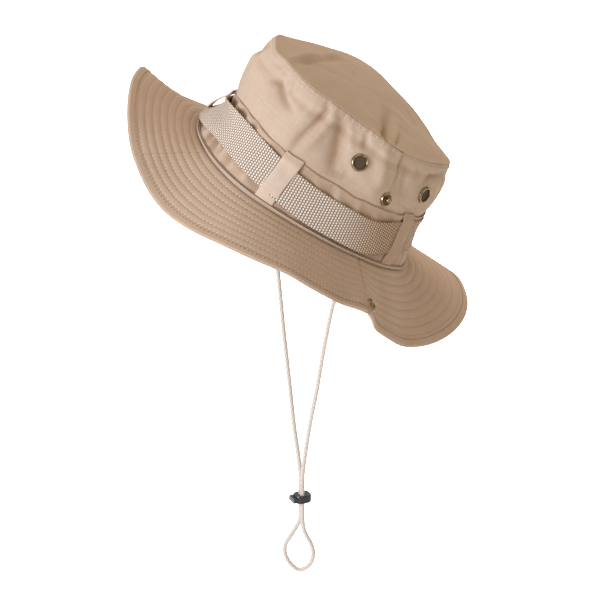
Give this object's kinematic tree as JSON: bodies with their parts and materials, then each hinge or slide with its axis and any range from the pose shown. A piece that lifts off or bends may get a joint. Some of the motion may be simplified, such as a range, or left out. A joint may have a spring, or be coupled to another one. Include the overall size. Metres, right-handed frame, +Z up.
{
  "type": "boonie hat",
  "caption": "Soft brimmed field hat with a webbing band and loops, crown vents, snap-up brim sides, and a braided chin cord with a sliding cord lock.",
  "frame": {"origin": "centre of the head opening, where the crown meets the brim", "axes": "+Z is up while the hat hangs on display with its chin cord straight down; the crown's own axis leans 36.5 degrees from +Z, towards 58.9 degrees from +X round to +Y, and is the axis of the mount head_opening"},
  "size_m": [0.2516, 0.2757, 0.4239],
  "materials": {
    "crown_cotton": "ripstop cotton, matt",
    "brim_cotton": "quilted ripstop cotton, matt",
    "under_cotton": "ripstop cotton, matt",
    "sweatband_cotton": "twill tape, matt",
    "piping_cotton": "bias binding, matt",
    "webbing_nylon": "coarse woven webbing",
    "antique_brass": "antique brass, satin",
    "vent_gauze": "dark woven gauze",
    "cord_braid": "braided cotton cord",
    "lock_plastic": "glossy black moulding",
    "spring_steel": "drawn wire"
  },
  "bodies": {
    "hat": {"base_welt": "piping_cotton", "belt_loop_1": "crown_cotton", "belt_loop_2": "crown_cotton", "belt_loop_3": "crown_cotton", "belt_loop_4": "crown_cotton", "belt_loop_5": "crown_cotton", "brim_lower_centre": "under_cotton", "brim_upper_centre": "brim_cotton", "cord_anchor_left": "sweatband_cotton", "cord_anchor_right": "sweatband_cotton", "crown_side_front": "crown_cotton", "crown_side_rear": "crown_cotton", "crown_top_panel": "crown_cotton", "lower_band": "crown_cotton", "snap_stud_left": "antique_brass", "snap_stud_right": "antique_brass", "stud_backing_left": "antique_brass", "stud_backing_right": "antique_brass", "sweatband": "sweatband_cotton", "vent_eyelet_left_front": "antique_brass", "vent_eyelet_left_rear": "antique_brass", "vent_eyelet_right_front": "antique_brass", "vent_eyelet_right_rear": "antique_brass", "vent_mesh_left_front": "vent_gauze", "vent_mesh_left_rear": "vent_gauze", "vent_mesh_right_front": "vent_gauze", "vent_mesh_right_rear": "vent_gauze", "vent_washer_left_front": "antique_brass", "vent_washer_left_rear": "antique_brass", "vent_washer_right_front": "antique_brass", "vent_washer_right_rear": "antique_brass", "webbing_band": "webbing_nylon"},
    "brim_left": {"brim_upper_left": "brim_cotton", "brim_lower_left": "under_cotton", "snap_socket_left": "antique_brass", "snap_cap_left": "antique_brass"},
    "brim_right": {"brim_upper_right": "brim_cotton", "brim_lower_right": "under_cotton", "snap_socket_right": "antique_brass", "snap_cap_right": "antique_brass"},
    "chin_cord": {"chin_cord": "cord_braid"},
    "cord_lock": {"cord_lock_barrel": "lock_plastic", "cord_lock_spring": "spring_steel"},
    "lock_button": {"cord_lock_plunger": "lock_plastic"}
  },
  "joints": [
    {"name": "brim_fold_left", "type": "hinge", "parent": "hat", "child": "brim_left", "pos_m": [0.08757, -0.00818, -0.02866], "axis": [0.0868, -0.8562, 0.5093], "range_deg": [0, 115]},
    {"name": "brim_fold_right", "type": "hinge", "parent": "hat", "child": "brim_right", "pos_m": [-0.08674, 0.00955, 0.03083], "axis": [-0.0868, 0.8562, -0.5093], "range_deg": [0, 115]},
    {"name": "chin_cord_swing", "type": "hinge", "parent": "hat", "child": "chin_cord", "pos_m": [0.07208, -0.00982, -0.02879], "axis": [0.9477, -0.0868, -0.3072], "range_deg": [-85, 30]},
    {"name": "cord_lock_slide", "type": "slide", "parent": "chin_cord", "child": "cord_lock", "axis": [0, 0, 1], "range_m": [-0.012, 0.014]},
    {"name": "lock_button_press", "type": "slide", "parent": "cord_lock", "child": "lock_button", "axis": [0.0912, 0.9958, 0], "range_m": [0, 0.002], "stiffness_N_per_m": 400, "springref_m": -0.001, "deforming": ["cord_lock_spring"]}
  ]
}
